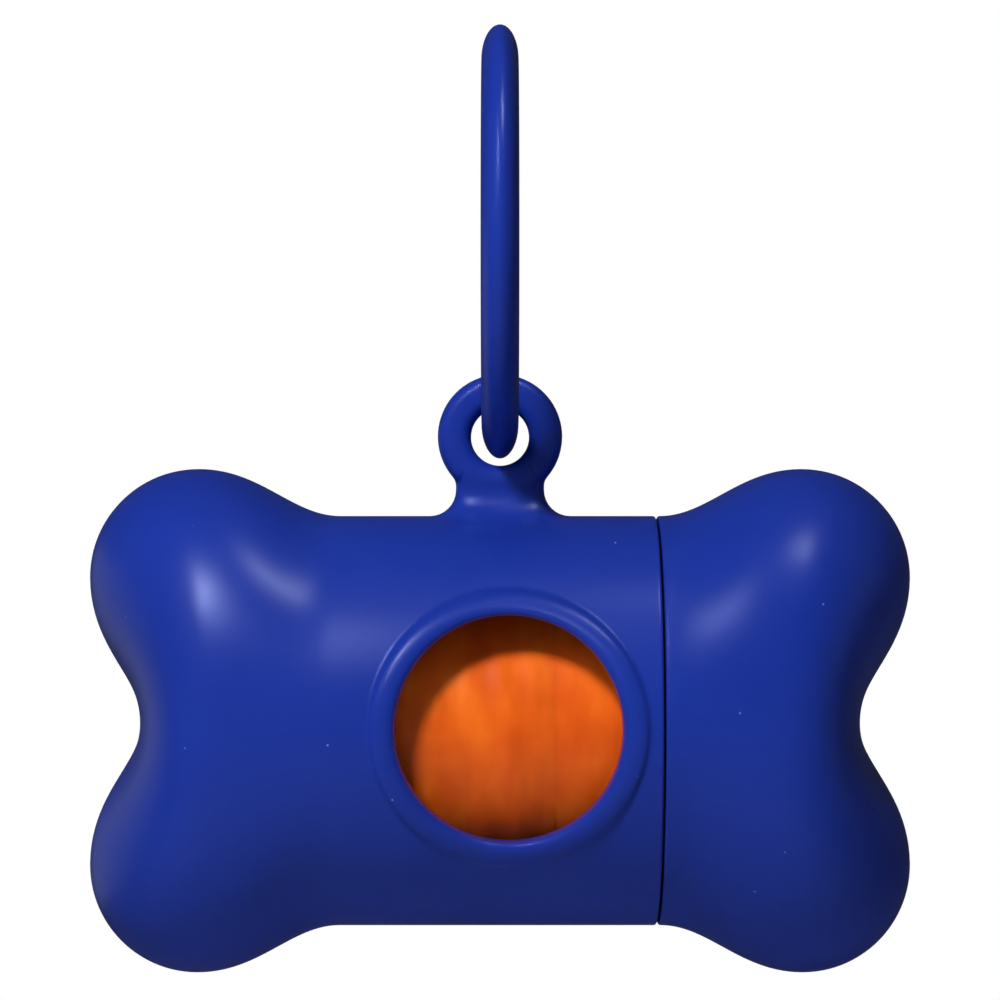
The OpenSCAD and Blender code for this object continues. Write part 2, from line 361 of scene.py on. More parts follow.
@dataclass(frozen=True)
class MouldedRubber:
    """Soft-touch moulded rubber: an even, dark and rich colour, a broad soft gloss and a fine matt
    grain.
    """

    name: str
    colour: str
    worn: str
    roughness: float = 0.33
    specular: float = 0.4
    ior: float = 1.45
    # Spark-eroded moulds leave a grain of about 0.1 mm; drawn at 0.35 mm so that it shows
    grain_mm: float = 0.35
    grain_depth_mm: float = 0.006
    grain_strength: float = 0.6
    # Handling leaves slow clouds in the colour and, by a little, in the roughness
    cloud_mm: float = 14.0
    cloud_places: tuple[float, float] = (0.35, 0.75)
    cloud_roughness: tuple[float, float] = (-0.03, 0.05)
    # Light that leaves just under the skin gives the gloss a tinge of the pigment
    gloss_tint: str = "#c6d2ff"
    # Soft rubber holds a few pale specks of dust, which fade out over the rim of their radius
    dust: str = "#7d8fd6"
    dust_gap_mm: float = 4.0
    dust_mm: float = 0.25
    dust_core: float = 0.6
    dust_cover: float = 0.7

    def build(self) -> bpy.types.Material:
        """Makes the material."""
        material, tree = new_material(self.name)
        place = tree.add("ShaderNodeTexCoord").outputs["Object"]
        pattern = {"Vector": place, "Scale": scale_for(self.cloud_mm), "Detail": 3.0}
        cloud = tree.add("ShaderNodeTexNoise", pattern).outputs["Fac"]
        clean = tree.ramp(cloud, self.cloud_places, self.colour, self.worn)
        pattern = {"Vector": place, "Scale": scale_for(self.dust_gap_mm)}
        specks = tree.add("ShaderNodeTexVoronoi", pattern)
        edge = self.dust_mm / self.dust_gap_mm / 2
        fade = {"From Min": edge, "From Max": edge * self.dust_core, "To Max": self.dust_cover}
        cover = tree.add("ShaderNodeMapRange", {"Value": specks.outputs["Distance"], **fade})
        mix = {"Fac": cover.outputs["Result"], "Color1": clean, "Color2": linear(self.dust)}
        low, high = (self.roughness + change for change in self.cloud_roughness)
        gloss = tree.add("ShaderNodeMapRange", {"Value": cloud, "To Min": low, "To Max": high})
        pattern = {"Vector": place, "Scale": scale_for(self.grain_mm), "Detail": 2.0}
        grain = tree.add("ShaderNodeTexNoise", pattern).outputs["Fac"]
        shading = {
            "Base Color": tree.add("ShaderNodeMixRGB", mix).outputs["Color"],
            "Roughness": gloss.outputs["Result"],
            "IOR": self.ior,
            "Specular IOR Level": self.specular,
            "Specular Tint": linear(self.gloss_tint),
        }
        tree.close(grain, self.grain_strength, self.grain_depth_mm, shading)
        return material


@dataclass(frozen=True)
class BagFilm:
    """Thin coloured polythene film: vivid, lit a little way into its layers, finely creased, with
    painted shade in its crease valleys and painted light on their crests.
    """

    name: str
    colour: str
    crease_shade_and_patch_tone: str
    crest_light_and_patch_tone: str
    # Places of the painted crease shade, the plain colour and the painted crest light in creases
    # times patches: the film is darker in the crease valleys as painted shade and lighter on their
    # crests as painted light, varied by random patches of tone
    places: tuple[float, float, float] = (0.1, 0.26, 0.45)
    roughness: float = 0.4
    specular: float = 0.18
    ior: float = 1.5
    # Creases run round the roll, so the pattern is stretched across its axis
    crease_mm: float = 2.6
    crease_scale: tuple[float, float, float] = (1.0, 0.35, 0.35)
    crease_depth_mm: float = 0.1
    crease_strength: float = 0.35
    patch_mm: float = 7.0
    # Red light gets furthest into the layers
    layer_light: float = 0.1
    layer_reach: tuple[float, float, float] = (1.0, 0.2, 0.05)
    layer_mm: float = 1.0

    def build(self) -> bpy.types.Material:
        """Makes the material."""
        material, tree = new_material(self.name)
        place = tree.add("ShaderNodeTexCoord").outputs["Object"]
        stretched = tree.add("ShaderNodeMapping", {"Vector": place, "Scale": self.crease_scale})
        along = {"Vector": stretched.outputs["Vector"], "Scale": scale_for(self.crease_mm)}
        along.update({"Detail": 2.0, "Roughness": 0.45})
        crease = tree.add("ShaderNodeTexNoise", along).outputs["Fac"]
        pattern = {"Vector": place, "Scale": scale_for(self.patch_mm), "Detail": 2.0}
        patch = tree.add("ShaderNodeTexNoise", pattern).outputs["Fac"]
        blend = tree.add("ShaderNodeMath", {0: crease, 1: patch}, operation="MULTIPLY")
        tones = (self.crease_shade_and_patch_tone, self.colour, self.crest_light_and_patch_tone)
        shading = {
            # Colour follows the crease relief: painted shade in its valleys and painted light on its
            # crests, times random patches
            "Base Color": tree.ramp(blend.outputs["Value"], self.places, *tones),
            "Roughness": self.roughness,
            "IOR": self.ior,
            "Specular IOR Level": self.specular,
            "Subsurface Weight": self.layer_light,
            "Subsurface Radius": self.layer_reach,
            "Subsurface Scale": self.layer_mm * MM,
        }
        tree.close(crease, self.crease_strength, self.crease_depth_mm, shading)
        return material


@dataclass(frozen=True)
class WoundCard:
    """Raw grey-brown card, wound in a spiral: dull, with short pale and dark fibres."""

    name: str
    colour: str
    fibre: str
    places: tuple[float, float] = (0.35, 0.65)
    roughness: float = 0.9
    fibre_mm: float = 0.5
    fibre_depth_mm: float = 0.05
    fibre_strength: float = 0.5

    def build(self) -> bpy.types.Material:
        """Makes the material."""
        material, tree = new_material(self.name)
        place = tree.add("ShaderNodeTexCoord").outputs["Object"]
        pattern = {"Vector": place, "Scale": scale_for(self.fibre_mm), "Detail": 5.0}
        fibres = tree.add("ShaderNodeTexNoise", pattern).outputs["Fac"]
        colour = tree.ramp(fibres, self.places, self.fibre, self.colour)
        shading = {"Base Color": colour, "Roughness": self.roughness}
        tree.close(fibres, self.fibre_strength, self.fibre_depth_mm, shading)
        return material


@dataclass(frozen=True)
class Finishes:
    """All finishes of the dispenser, built once."""

    rubber: bpy.types.Material = field(
        default_factory=MouldedRubber("moulded_blue_silicone", "#132a86", "#152d8b").build
    )
    tube: bpy.types.Material = field(
        default_factory=MouldedRubber(
            "satin_moulded_polypropylene", "#1a318c", "#1d3592", roughness=0.3, specular=0.5
        ).build
    )
    film: bpy.types.Material = field(
        default_factory=BagFilm("orange_polythene_film", "#d8580e", "#c64808", "#ea6c16").build
    )
    card: bpy.types.Material = field(
        default_factory=WoundCard("spiral_wound_card", "#b99b75", "#97785a").build
    )


def dress(item: bpy.types.Object, material: bpy.types.Material) -> None:
    """Gives an object one material in all its slots."""
    item.data.materials.clear()
    item.data.materials.append(material)


def place_piece(item: bpy.types.Object, body: Body, slot: Slot, *nodes: str) -> None:
    """Fixes a piece to its body and hides the CAD nodes that it replaces.

    Args:
        item: The piece.
        body: Body that it rides on.
        slot: The record's material slot; not used.
        *nodes: CAD nodes that it replaces.
    """
    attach(item, body.value)
    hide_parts(*nodes)


# ---------------------------------------------------------------- the bone


@dataclass(frozen=True)
class BoneForm:
    """Outline and section of the bone, shared by its body and its cap."""

    bone_r: float = 20.4
    notch_x: float = 35.7
    lobe_r: float = 10.8
    lobe_back: float = 5.6
    lobe_rise: float = 4.7
    flank_len: float = 10.5
    flank_power: float = 3.0
    flank_pace: float = 35.0
    shoulder_x: float = 15.95
    # Pulls of the curves up the notch and down to the shoulder, as shares of their height or run
    notch_pulls: tuple[float, float] = (0.29, 0.5)
    shoulder_pulls: tuple[float, float] = (0.44, 0.34)
    columns: int = 144
    first_angle: float = 90.0
    steps: tuple[int, int, int] = (22, 26, 28)

    def angles(self) -> np.ndarray:
        """Angles round the bone in radians, from the back by way of the bottom, front and top."""
        return np.radians(self.first_angle + np.arange(self.columns) * 360 / self.columns)

    def column(self, degrees: float) -> int:
        """Number of the column at an angle in degrees."""
        return round((degrees - self.first_angle) * self.columns / 360)

    def columns_about(self, degrees: float, half: float) -> np.ndarray:
        """Numbers of the columns up to half degrees to each side of an angle."""
        return np.arange(self.column(degrees - half), self.column(degrees + half) + 1)

    def ring(self, x: np.ndarray, radius: np.ndarray) -> np.ndarray:
        """Rings round the bone's axis.

        Args:
            x: Places along the bone.
            radius: Radius at each place.

        Returns:
            Grid of points shaped (places, columns, 3).
        """
        x, radius = np.asarray(x, float)[:, None], np.asarray(radius, float)[:, None]
        return turned(x, radius, self.angles())

    def places(self, stretch: int) -> np.ndarray:
        """Places from 0 to 1 along a stretch; those after the first leave out their start."""
        return np.linspace(0, 1, self.steps[stretch] + 1)[1 if stretch else 0 :, None]

    def shoulder(self, top: np.ndarray) -> np.ndarray:
        """Cubic curve from the widest point to the shoulder, level at both ends."""
        foot = np.array([self.shoulder_x, self.bone_r])
        leave, arrive = (pull * (top[0] - foot[0]) for pull in self.shoulder_pulls)
        return cubic(top, top - [leave, 0], foot + [arrive, 0], foot, self.places(2))

    def lobe_outline(self) -> np.ndarray:
        """Front view's outline as (distance along the bone, radius), of three cubic curves.

        They join the pole, the outermost point, the widest point and the shoulder, upright or
        level at each.
        """
        pole = np.array([self.notch_x, 0.0])
        widest = self.bone_r + self.lobe_rise
        centre = np.array([self.notch_x - self.lobe_back, widest - self.lobe_r])
        side, top = centre + [self.lobe_r, 0], centre + [0, self.lobe_r]
        turn = self.lobe_r * CIRCLE_PULL
        leave, arrive = (pull * centre[1] for pull in self.notch_pulls)
        notch = cubic(pole, pole + [0, leave], side - [0, arrive], side, self.places(0))
        lobe = cubic(side, side + [0, turn], top + [turn, 0], top, self.places(1))
        return np.concatenate([notch, lobe, self.shoulder(top)])

    def flank_outline(self) -> np.ndarray:
        """Top view's outline as (distance along the bone, radius).

        It is a quarter of a superellipse, squared across the bone and cubed along it, so that its
        bend fades out where the shoulder takes over. The turn grows with t at the pole's pace and
        then with its square, so that t from 0 to 2 makes 90 degrees.
        """
        t = np.concatenate([self.places(0), self.places(1) + 1])
        turn = np.radians(t * (self.flank_pace + (90 - 2 * self.flank_pace) / 4 * t))
        flank_x = self.notch_x - self.flank_len
        along = self.flank_len * np.maximum(np.cos(turn), 0) ** (2 / self.flank_power)
        round_end = np.concatenate([flank_x + along, self.bone_r * np.sin(turn)], axis=1)
        return np.concatenate([round_end, self.shoulder(np.array([flank_x, self.bone_r]))])

    def end(self, direction: int) -> np.ndarray:
        """Surface of a bone end, from its pole to its shoulder.

        The outline of the lobes, weighted by the squared cosine of the angle from the top, blends
        into the outline of the plain flank.

        Args:
            direction: 1 for the right end and -1 for the left end.

        Returns:
            Grid of points shaped (places, columns, 3).
        """
        angle = self.angles()
        share = np.cos(angle)[None, :, None] ** 2
        blend = share * self.lobe_outline()[:, None] + (1 - share) * self.flank_outline()[:, None]
        return turned(direction * blend[..., 0], blend[..., 1], angle)


@dataclass(frozen=True)
class RollRoom:
    """Hollow that the roll lies in: a straight bore with a rounded closed end."""

    radius: float = 16.3
    half_len: float = 32.2
    corner: float = 5.5
    corner_steps: int = 8
    floor_steps: int = 4

    def grown(self, wall: float) -> "RollRoom":
        """The same hollow with all its sides moved out by a wall."""
        return RollRoom(self.radius + wall, self.half_len + wall, self.corner + wall)

    def profile(self, direction: int, mouth_x: float, stops: list[float]) -> np.ndarray:
        """Profile from the mouth to the middle of the closed end, as (x, radius).

        Args:
            direction: 1 if the closed end is at the right, -1 if it is at the left.
            mouth_x: Where the straight bore starts.
            stops: Further places along the straight bore, in order.

        Returns:
            Array of points.
        """
        start, floor_r = self.half_len - self.corner, self.radius - self.corner
        round_end = arc(self.corner, 90, 0, self.corner_steps) + [start, floor_r]
        inwards = np.linspace(floor_r, 0, self.floor_steps + 1)[1:]
        floor = np.stack([np.full_like(inwards, self.half_len), inwards], axis=-1)
        bore = np.array([[x, self.radius] for x in (mouth_x, *stops)])
        return np.concatenate([bore, np.concatenate([round_end, floor]) * [direction, 1]])


@dataclass(frozen=True)
class Window:
    """Round opening in the front, with its raised rim."""

    x: float = 0.85
    radius: float = 10.8
    rim_w: float = 2.5
    rim_h: float = 0.55
    lip_drop: float = 0.7
    foot_w: float = 0.55
    foot_drop: float = 0.07
    crest: float = 0.55
    lip_power: float = 2.5
    # Pulls of the rim's outer curve at its foot and at its crest, as shares of its width
    rim_pulls: tuple[float, float] = (0.5, 0.75)
    rim_steps: tuple[int, int] = (12, 8)
    lead_steps: int = 6
    wall_steps: int = 4
    half_angle: float = 45.0

    def on_cylinder(self, flat: np.ndarray, radius: np.ndarray) -> np.ndarray:
        """Lifts points (x, z) in front of the bone onto cylinders round its axis.

        Args:
            flat: Points seen from the front, measured from the window's centre.
            radius: Radius of the cylinder, which broadcasts against the points.

        Returns:
            Points in space.
        """
        z = flat[..., 1]
        return np.stack([flat[..., 0] + self.x, -np.sqrt(radius**2 - z**2), z], axis=-1)

    def rim_profile(self) -> np.ndarray:
        """Section of the rim as (distance from the window's axis, height above the bone), inwards.

        A cubic curve rises from the level bone, by way of a shallow hollow, to the level crest.
        From there a quarter superellipse, a little fuller than an ellipse, runs down to the lip.
        """
        crest_r = self.radius + self.crest * self.rim_w
        foot_r = self.radius + self.rim_w + self.foot_w
        leave, arrive = (pull * (foot_r - crest_r) for pull in self.rim_pulls)
        rising, falling = self.rim_steps
        outer = cubic(
            np.array([foot_r, 0.0]),
            np.array([foot_r - leave, -self.foot_drop]),
            np.array([crest_r + arrive, self.rim_h]),
            np.array([crest_r, self.rim_h]),
            np.linspace(0, 1, rising + 1)[:, None],
        )
        quarter = np.radians(np.linspace(0, 90, falling + 1))[1:]
        inwards = np.sin(quarter) ** (2 / self.lip_power)
        level = np.cos(quarter).clip(0) ** (2 / self.lip_power)
        lip_r = crest_r - (crest_r - self.radius) * inwards
        lip_h = self.rim_h - (self.rim_h + self.lip_drop) * (1 - level)
        return np.concatenate([outer, np.stack([lip_r, lip_h], axis=-1)])

    def plain_profile(self, edge: float) -> np.ndarray:
        """Section of a plain hole with a small rounded edge, as rim_profile gives it."""
        return arc(edge, 90, 180, EDGE_STEPS) + [self.radius + edge, -edge]

    def patch(
        self,
        outer: np.ndarray,
        inner: np.ndarray,
        outer_r: float,
        inner_r: float,
        profile: np.ndarray,
    ) -> np.ndarray:
        """Surface from a loop on the outer cylinder, through the opening, to one on the inner.

        Each point of the loops heads straight for the window's axis as seen from the front, follows
        the profile down into the opening, and comes out again on the inner cylinder.

        Args:
            outer: Closed loop on the outer cylinder, shaped (points, 3).
            inner: The same loop on the inner cylinder.
            outer_r: Radius of the outer cylinder.
            inner_r: Radius of the inner cylinder.
            profile: Section of the opening's edge.

        Returns:
            Grid of points shaped (steps, points, 3).
        """
        centre = np.array([self.x, 0.0])
        flat_out, flat_in = outer[:, [0, 2]] - centre, inner[:, [0, 2]] - centre
        heading = flat_out / np.linalg.norm(flat_out, axis=1, keepdims=True)
        edge = profile[:, 0][:, None, None] * heading[None]
        edge_r = (outer_r + profile[:, 1])[:, None]
        approach = np.linspace(0, 1, self.lead_steps + 1)[1:-1, None, None]
        lead_in = flat_out[None] * (1 - approach) + edge[0][None] * approach
        wall_r = np.linspace(edge_r[-1, 0], inner_r, self.wall_steps + 1)[1:, None]
        wall = np.repeat(edge[-1][None], len(wall_r), axis=0)
        lead_out = edge[-1][None] * (1 - approach) + flat_in[None] * approach
        return np.concatenate(
            [
                outer[None],
                self.on_cylinder(lead_in, outer_r),
                self.on_cylinder(edge, edge_r),
                self.on_cylinder(wall, wall_r),
                self.on_cylinder(lead_out, inner_r),
                inner[None],
            ]
        )


@dataclass(frozen=True)
class Eye:
    """Eye on its stem, through which the ring runs."""

    hole_r: float = 2.9
    wall: float = 3.3
    thick: float = 5.0
    edge: float = 1.2
    rise: float = 7.9
    stem_half_w: float = 4.4
    stem_half_t: float = 2.4
    fillet: float = 2.6
    # Points on the section's four straights, from the hole over the front, and steps at a corner
    straight_points: tuple[int, int, int, int] = (5, 3, 3, 3)
    corner_steps: int = 5
    rows: int = 80
    # Rows and columns of the eye's grid between which the stem joins it
    joint_rows: tuple[int, int] = (29, 51)
    joint_cols: tuple[int, int] = (9, 25)
    stem_power: int = 4
    stem_pull: float = 0.4
    # Steps along the bone to the fillet, up the fillet and on up to the eye
    stem_steps: tuple[int, int, int] = (4, 8, 7)

    def section(self) -> np.ndarray:
        """Rounded oblong section as (distance from the hole's axis, y), from hole to front to back.

        Straights run from corner to corner, and each leaves out its last point, where the next part
        starts.
        """
        flat = self.thick / 2 - self.edge
        near, far = self.hole_r + self.edge, self.hole_r + self.wall - self.edge
        corners = ((near, -flat, 180), (far, -flat, 270), (far, flat, 0), (near, flat, 90))
        arcs = [
            arc(self.edge, first, first + 90, self.corner_steps) + [distance, y]
            for distance, y, first in corners
        ]
        parts = []
        for before, after, points in zip([arcs[-1], *arcs], arcs, self.straight_points):
            parts += [np.linspace(before[-1], after[0], points)[:-1], after[:-1]]
        return np.concatenate(parts)

    def grid(self, centre_z: float) -> np.ndarray:
        """The section carried round the hole's axis, from the top over the left."""
        turn = np.radians(90 + np.arange(self.rows) * 360 / self.rows)[:, None]
        distance, y = self.section().T
        x, z = distance * np.cos(turn), centre_z + distance * np.sin(turn)
        return np.stack(np.broadcast_arrays(x, y, z), axis=-1)

    def stem(self, base: np.ndarray, grid: np.ndarray, bone_r: float) -> np.ndarray:
        """Surface from a loop on the bone, up the flared stem, to the gap left in the eye.

        The section is a superellipse. It starts as wide as the fillet reaches, closes in along a
        quarter circle and then follows smooth curves onto the eye.

        Args:
            base: Closed loop on the bone, shaped (points, 3).
            grid: The eye's own grid.
            bone_r: Radius of the bone.

        Returns:
            Grid of points shaped (steps, points, 3).
        """
        half = np.abs(base[:, :2]).max(axis=0)
        unit = base[:, :2] / half
        unit /= ((unit**self.stem_power).sum(axis=1) ** (1 / self.stem_power))[:, None]
        along, up, onto = self.stem_steps
        quarter = np.radians(np.linspace(0, 90, up + 1))[:, None, None]
        half_stem = np.array([self.stem_half_w, self.stem_half_t])
        flare = unit[None] * (half_stem + self.fillet * (1 - np.sin(quarter)))
        climb = self.fillet * (1 - np.cos(quarter[..., 0]))
        level = climb + np.sqrt(bone_r**2 - flare[..., 1] ** 2)
        flare = np.concatenate([flare, level[..., None]], axis=-1)
        t = np.linspace(0, 1, along + 1)[1:-1, None, None]
        flat = base[None, :, :2] * (1 - t) + flare[:1, :, :2] * t
        flat = np.concatenate([flat, np.sqrt(bone_r**2 - flat[..., 1:] ** 2)], axis=-1)
        rows, cols = (np.arange(a, b + 1) for a, b in (self.joint_rows, self.joint_cols))
        gap, beyond = grid[block_loop(rows, cols)], grid[block_loop(rows, cols, 1)]
        onward = beyond - gap
        onward /= np.linalg.norm(onward, axis=1, keepdims=True)
        start = flare[-1]
        pull = np.linalg.norm(gap - start, axis=1, keepdims=True) * self.stem_pull
        t = np.linspace(0, 1, onto + 1)[1:, None, None]
        rise = cubic(start, start + pull * [0, 0, 1], gap - pull * onward, gap, t)
        return np.concatenate([base[None], flat, flare, rise])


@dataclass
class BoneBody:
    """Soft outer body: the left lobes, the middle with the window, and the eye on its stem."""

    form: BoneForm = field(default_factory=BoneForm)
    room: RollRoom = field(
        default_factory=lambda: RollRoom().grown(TUBE_WALL_MM + TUBE_GAP_MM)
    )
    window: Window = field(default_factory=Window)
    eye: Eye = field(default_factory=Eye)
    seam_x: float = 15.5
    seam_edge: float = 0.25
    stem_half_x: float = 8.9
    stem_half_angle: float = 20.0
    # Half the block that the window takes from the outside, and from the bore
    window_half: tuple[float, float] = (14.2, 12.5)
    # Steps along the outside to that block, on to the stem, past it, and to the block's end
    middle_steps: tuple[int, int, int, int] = (3, 6, 22, 8)
    mouth_edge: float = 0.2
    bore_stops: tuple[float, float] = (-18.0, -23.0)

    def build(self) -> bpy.types.Object:
        """Makes the body's mesh."""
        form, window = self.form, self.window
        (low, bore_low), (high, bore_high) = (
            [window.x + side * half for half in self.window_half] for side in (-1, 1)
        )
        stops = (-form.shoulder_x, low, -self.stem_half_x, self.stem_half_x, high)
        middle = np.concatenate(
            [
                np.linspace(first, last, steps + 1)[1:]
                for first, last, steps in zip(stops, stops[1:], self.middle_steps)
            ]
        )
        to_window, to_stem, past_stem, _ = self.middle_steps
        across = sum(self.middle_steps) - to_window
        edge = self.seam_edge
        lip = arc(edge, 90, 0, EDGE_STEPS) + [self.seam_x - edge, form.bone_r - edge]
        bore = self.room.profile(
            -1,
            self.seam_x - self.mouth_edge,
            [*np.linspace(bore_high, bore_low, across + 1), *self.bore_stops],
        )
        outside = np.concatenate(
            [
                form.end(-1),
                form.ring(middle, np.full(len(middle), form.bone_r)),
                form.ring(*lip.T),
            ]
        )
        mouth = form.ring([self.seam_x], [self.room.radius + self.mouth_edge])
        grid = np.concatenate([outside, mouth, form.ring(*bore.T)])
        # The grid runs along the outside to the seam, and through the mouth back along the bore
        out_first, in_first = sum(form.steps) + to_window, len(outside) + 2
        out_rows = np.arange(out_first, out_first + across + 1)
        stem_rows = np.arange(out_first + to_stem, out_first + to_stem + past_stem + 1)
        in_rows = np.arange(in_first + across, in_first - 1, -1)
        cols = form.columns_about(FRONT_DEG, window.half_angle)
        stem_cols = form.columns_about(TOP_DEG, self.stem_half_angle)
        shell = Shell()
        blocks = ((out_rows, cols), (in_rows, cols), (stem_rows, stem_cols))
        shell.add(grid, holes=tuple(block_cells(*block) for block in blocks))
        shell.add(
            window.patch(
                grid[block_loop(out_rows, cols)],
                grid[block_loop(in_rows, cols)],
                form.bone_r,
                self.room.radius,
                window.rim_profile(),
            )
        )
        eye_grid = self.eye.grid(form.bone_r + self.eye.rise)
        joint = (*self.eye.joint_rows, *self.eye.joint_cols)
        shell.add(np.concatenate([eye_grid, eye_grid[:1]]), holes=(joint,))
        shell.add(self.eye.stem(grid[block_loop(stem_rows, stem_cols)], eye_grid, form.bone_r))
        return shell.build("soft_body", BONE_Z)


@dataclass
class BoneCap:
    """Soft cap: the right lobes, with the socket for the neck and the end of the roll's room."""

    form: BoneForm = field(default_factory=BoneForm)
    room: RollRoom = field(default_factory=RollRoom)
    mouth_x: float = 15.7
    edge: float = 0.25
    socket_r: float = 17.58
    socket_x: float = 23.7
    # Rings this far from the socket's ends keep its shading straight
    socket_inset: float = 2.5
    bore_stop: float = 25.5

    def build(self) -> bpy.types.Object:
        """Makes the cap's mesh."""
        form, edge, mouth = self.form, self.edge, self.mouth_x
        lip = arc(edge, 90, 180, EDGE_STEPS) + [mouth + edge, form.bone_r - edge]
        inset, last = self.socket_inset, self.socket_x
        straight = ([x, self.socket_r] for x in (mouth + edge, mouth + inset, last - inset, last))
        socket = np.array([[mouth, self.socket_r + edge], *straight])
        bore = self.room.profile(1, self.socket_x, [self.bore_stop])
        rings = [form.ring(*profile.T) for profile in (lip[1:], socket, bore)]
        shell = Shell()
        shell.add(np.concatenate([form.end(1), *rings]))
        return shell.build("soft_cap", BONE_Z)


@dataclass
class RollTube:
    """Stiff tube in the body, whose open end stands out as the neck."""

    form: BoneForm = field(default_factory=BoneForm)
    room: RollRoom = field(default_factory=RollRoom)
    window: Window = field(default_factory=lambda: Window(radius=11.3))
    wall: float = TUBE_WALL_MM
    neck_x: float = 23.5
    neck_lead: float = 0.5
    mouth_x: float = 15.0
    mouth_edge: float = 0.3
    window_half: float = 13.0
    window_edge: float = 0.2
    window_steps: int = 36
    bore_stops: tuple[float, float] = (-16.0, -22.0)

    def build(self) -> bpy.types.Object:
        """Makes the tube's mesh."""
        form, room, window = self.form, self.room, self.window
        outer = room.grown(self.wall)
        low, high = window.x - self.window_half, window.x + self.window_half
        span = np.linspace(high, low, self.window_steps + 1)
        stops = [*span, *self.bore_stops]
        lead, edge = self.neck_lead, self.mouth_edge
        tip = np.array([[self.neck_x, outer.radius - lead], [self.neck_x - lead, outer.radius]])
        outside = outer.profile(-1, self.mouth_x, stops)
        inside = room.profile(-1, self.neck_x - edge, stops)
        parts = [inside[::-1], np.array([[self.neck_x, room.radius + edge]]), tip, outside]
        grid = form.ring(*np.concatenate(parts).T)
        # The bore runs from its closed end to its mouth, and the outside runs back again
        in_first = len(inside) - 1 - len(span)
        in_rows = np.arange(in_first, in_first + len(span))
        out_first = len(inside) + 1 + len(tip) + 1
        out_rows = np.arange(out_first + len(span) - 1, out_first - 1, -1)
        cols = form.columns_about(FRONT_DEG, window.half_angle)
        shell = Shell()
        shell.add(grid, holes=(block_cells(out_rows, cols), block_cells(in_rows, cols)))
        shell.add(
            window.patch(
                grid[block_loop(out_rows, cols)],
                grid[block_loop(in_rows, cols)],
                outer.radius,
                room.radius,
                window.plain_profile(self.window_edge),
            )
        )
        return shell.build("stiff_tube", BONE_Z)


@dataclass
class HangRing:
    """Moulded ring with an egg-shaped section that is narrow towards the outside."""

    inner_r: float = 16.7
    width: float = 4.9
    thick: float = 3.7
    nose: float = 3.4
    rows: int = 200
    section_steps: int = 48

    def build(self) -> bpy.types.Object:
        """Makes the ring's mesh: the section carried round the ring's axis, which lies along X."""
        around = np.radians(np.arange(self.rows + 1) * 360 / self.rows)[:, None]
        turn = np.radians(np.arange(self.section_steps) * 360 / self.section_steps)
        reach = np.where(np.sin(turn) > 0, self.nose, self.width - self.nose)
        distance = self.inner_r + self.width - self.nose + reach * np.sin(turn)
        shell = Shell()
        shell.add(turned(self.thick / 2 * np.cos(turn), distance, around))
        return shell.build("soft_ring", node_middle("hang_ring").z)


